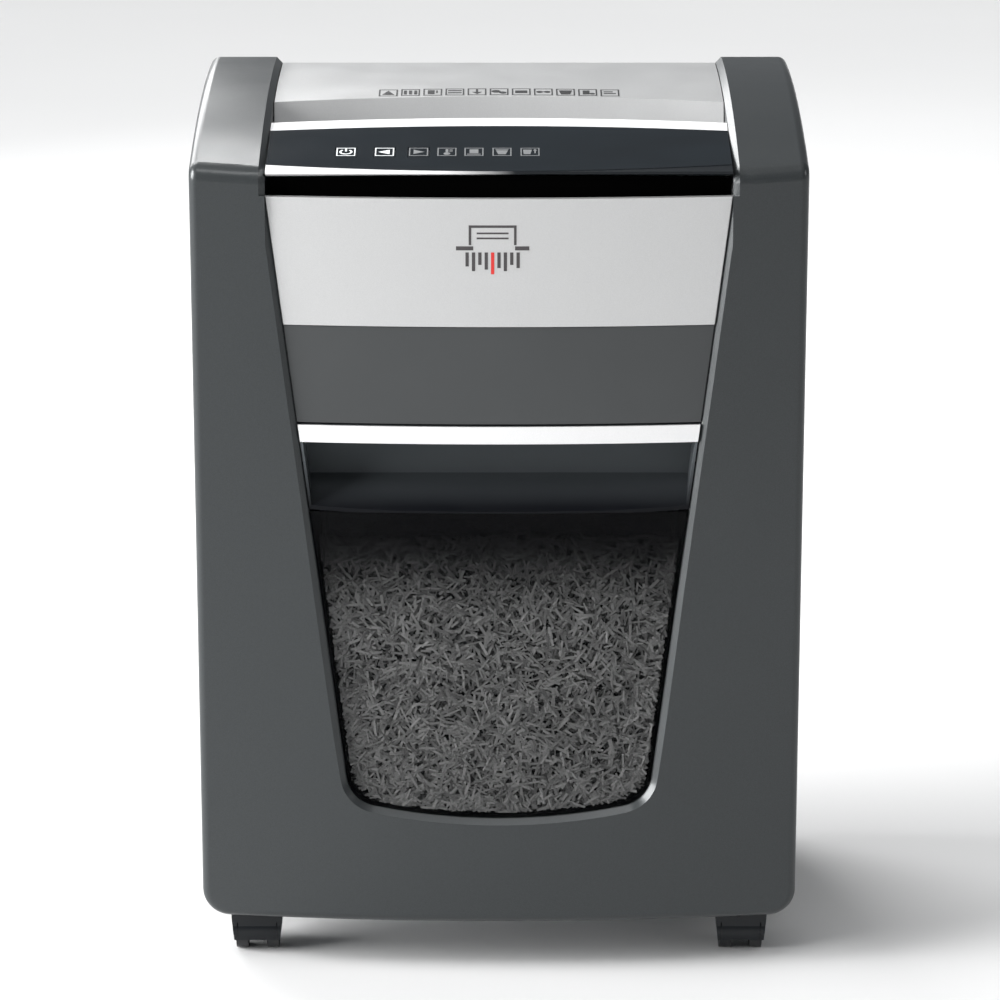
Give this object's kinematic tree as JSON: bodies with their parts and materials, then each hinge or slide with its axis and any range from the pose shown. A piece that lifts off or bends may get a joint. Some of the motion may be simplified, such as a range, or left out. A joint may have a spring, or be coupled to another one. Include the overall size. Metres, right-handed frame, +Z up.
{
  "type": "paper shredder",
  "caption": "Cabinet paper shredder with a sloping control panel, feed slot, smoked bin window, pull-out bin and swivel castors.",
  "frame": {"origin": "on the floor under the middle of the cabinet", "axes": "+Z up, +Y towards the back, +X to the right seen from the front"},
  "size_m": [0.39, 0.268, 0.565],
  "materials": {
    "charcoal_paint": "fine satin paint",
    "charcoal_plastic": "fine grain",
    "dark_plastic": "fine grain",
    "silver_plastic": "satin silver lacquer",
    "bright_silver": "bright silver lacquer",
    "recess_black": "flat black",
    "black_gloss": "polished",
    "black_plastic": "fine grain",
    "castor_hood_plastic": "fine grain",
    "castor_wheel_rubber": "matt",
    "galvanised_steel": "zinc-plated sheet",
    "turned_steel": "turned",
    "hardened_steel": "oiled",
    "gear_steel": "greased",
    "bronze": "sintered",
    "motor_can": "plain",
    "circuit_board": "solder resist",
    "smoked_window": "smoked clear plastic",
    "paper_shreds": "loose cut strips"
  },
  "bodies": {
    "cabinet": {"base_plate": "galvanised_steel", "bin_rails": "galvanised_steel", "bin_switch": "black_plastic", "casing_screws": "turned_steel", "castor_sockets": "black_plastic", "control_bezel": "bright_silver", "control_board": "circuit_board", "cutter_plate_left": "galvanised_steel", "cutter_plate_right": "galvanised_steel", "display_board": "circuit_board", "front_wiper_comb": "turned_steel", "gear_spindles": "turned_steel", "gearbox_plate": "galvanised_steel", "head_tray": "galvanised_steel", "lever_bracket": "black_plastic", "lower_fascia": "charcoal_plastic", "mains_inlet": "black_plastic", "motor_stator": "motor_can", "outer_casing": "charcoal_paint", "rear_panel": "charcoal_plastic", "rear_wiper_comb": "turned_steel", "recess_band": "recess_black", "shaft_bushes": "bronze", "silver_fascia": "silver_plastic", "switch_housing": "black_plastic", "throat_guide_front": "galvanised_steel", "throat_guide_rear": "galvanised_steel", "throat_lining": "black_plastic", "tie_rods": "turned_steel", "top_cover": "silver_plastic", "touch_panel": "black_gloss"},
    "bin": {"bin_tub": "black_plastic", "bin_front": "dark_plastic", "bin_handle_strip": "bright_silver", "bin_window": "smoked_window", "shredded_paper": "paper_shreds"},
    "rear_cutter": {"rear_shaft": "turned_steel", "rear_discs": "hardened_steel", "rear_sync_gear": "gear_steel", "final_gear": "gear_steel"},
    "front_cutter": {"front_shaft": "turned_steel", "front_discs": "hardened_steel", "front_sync_gear": "gear_steel"},
    "second_idler": {"second_gear": "gear_steel"},
    "first_idler": {"first_gear": "gear_steel"},
    "rotor": {"motor_rotor": "turned_steel"},
    "power_key": {"power_key": "black_gloss"},
    "reverse_key": {"reverse_key": "black_gloss"},
    "forward_key": {"forward_key": "black_gloss"},
    "mains_rocker": {"mains_rocker": "black_plastic"},
    "interlock_lever": {"interlock_lever": "galvanised_steel"},
    "fork_front_left": {"castor_fork_front_left": "castor_hood_plastic"},
    "wheels_front_left": {"castor_wheels_front_left": "castor_wheel_rubber"},
    "fork_front_right": {"castor_fork_front_right": "castor_hood_plastic"},
    "wheels_front_right": {"castor_wheels_front_right": "castor_wheel_rubber"},
    "fork_back_left": {"castor_fork_back_left": "castor_hood_plastic"},
    "wheels_back_left": {"castor_wheels_back_left": "castor_wheel_rubber"},
    "fork_back_right": {"castor_fork_back_right": "castor_hood_plastic"},
    "wheels_back_right": {"castor_wheels_back_right": "castor_wheel_rubber"}
  },
  "joints": [
    {"name": "bin_slide", "type": "slide", "parent": "cabinet", "child": "bin", "axis": [0, -1, 0], "range_m": [0, 0.18]},
    {"name": "rear_cutter_spin", "type": "hinge", "parent": "cabinet", "child": "rear_cutter", "pos_m": [0, 0.002, 0.458], "axis": [1, 0, 0], "continuous": true},
    {"name": "front_cutter_spin", "type": "hinge", "parent": "cabinet", "child": "front_cutter", "pos_m": [0, -0.04, 0.458], "axis": [1, 0, 0], "continuous": true},
    {"name": "second_idler_spin", "type": "hinge", "parent": "cabinet", "child": "second_idler", "pos_m": [-0.00014, 0.03735, 0.50013], "axis": [1, 0, 0], "continuous": true},
    {"name": "first_idler_spin", "type": "hinge", "parent": "cabinet", "child": "first_idler", "pos_m": [-0.00015, 0.08733, 0.49132], "axis": [1, 0, 0], "continuous": true},
    {"name": "rotor_spin", "type": "hinge", "parent": "cabinet", "child": "rotor", "pos_m": [-0.00006, 0.08028, 0.45131], "axis": [1, 0, 0], "continuous": true},
    {"name": "power_key_press", "type": "slide", "parent": "cabinet", "child": "power_key", "axis": [0, 0.181, -0.9835], "range_m": [0, 0.0008], "stiffness_N_per_m": 1500},
    {"name": "reverse_key_press", "type": "slide", "parent": "cabinet", "child": "reverse_key", "axis": [0, 0.181, -0.9835], "range_m": [0, 0.0008], "stiffness_N_per_m": 1500},
    {"name": "forward_key_press", "type": "slide", "parent": "cabinet", "child": "forward_key", "axis": [0, 0.181, -0.9835], "range_m": [0, 0.0008], "stiffness_N_per_m": 1500},
    {"name": "mains_rocker_tilt", "type": "hinge", "parent": "cabinet", "child": "mains_rocker", "pos_m": [-0.08, 0.129, 0.076], "axis": [0, 0, 1], "range_deg": [-10, 0]},
    {"name": "interlock_lever_swing", "type": "hinge", "parent": "cabinet", "child": "interlock_lever", "pos_m": [0.06, 0.1225, 0.31], "axis": [1, 0, 0], "range_deg": [0, 7]},
    {"name": "swivel_front_left", "type": "hinge", "parent": "cabinet", "child": "fork_front_left", "pos_m": [-0.1606, -0.094, 0.04], "axis": [0, 0, 1], "continuous": true},
    {"name": "roll_front_left", "type": "hinge", "parent": "fork_front_left", "child": "wheels_front_left", "pos_m": [-0.1606, -0.086, 0.0145], "axis": [1, 0, 0], "continuous": true},
    {"name": "swivel_front_right", "type": "hinge", "parent": "cabinet", "child": "fork_front_right", "pos_m": [0.1606, -0.094, 0.04], "axis": [0, 0, 1], "continuous": true},
    {"name": "roll_front_right", "type": "hinge", "parent": "fork_front_right", "child": "wheels_front_right", "pos_m": [0.1606, -0.086, 0.0145], "axis": [1, 0, 0], "continuous": true},
    {"name": "swivel_back_left", "type": "hinge", "parent": "cabinet", "child": "fork_back_left", "pos_m": [-0.1606, 0.092, 0.04], "axis": [0, 0, 1], "continuous": true},
    {"name": "roll_back_left", "type": "hinge", "parent": "fork_back_left", "child": "wheels_back_left", "pos_m": [-0.1606, 0.1, 0.0145], "axis": [1, 0, 0], "continuous": true},
    {"name": "swivel_back_right", "type": "hinge", "parent": "cabinet", "child": "fork_back_right", "pos_m": [0.1606, 0.092, 0.04], "axis": [0, 0, 1], "continuous": true},
    {"name": "roll_back_right", "type": "hinge", "parent": "fork_back_right", "child": "wheels_back_right", "pos_m": [0.1606, 0.1, 0.0145], "axis": [1, 0, 0], "continuous": true}
  ],
  "couplings": [
    {"joint": "front_cutter_spin", "follows": "rear_cutter_spin", "ratio": -1},
    {"joint": "second_idler_spin", "follows": "rear_cutter_spin", "ratio": -2.1429},
    {"joint": "first_idler_spin", "follows": "rear_cutter_spin", "ratio": 7.4176},
    {"joint": "rotor_spin", "follows": "rear_cutter_spin", "ratio": -29.67},
    {"joint": "interlock_lever_swing", "follows": "bin_slide", "rad_per_m": 0.6}
  ]
}
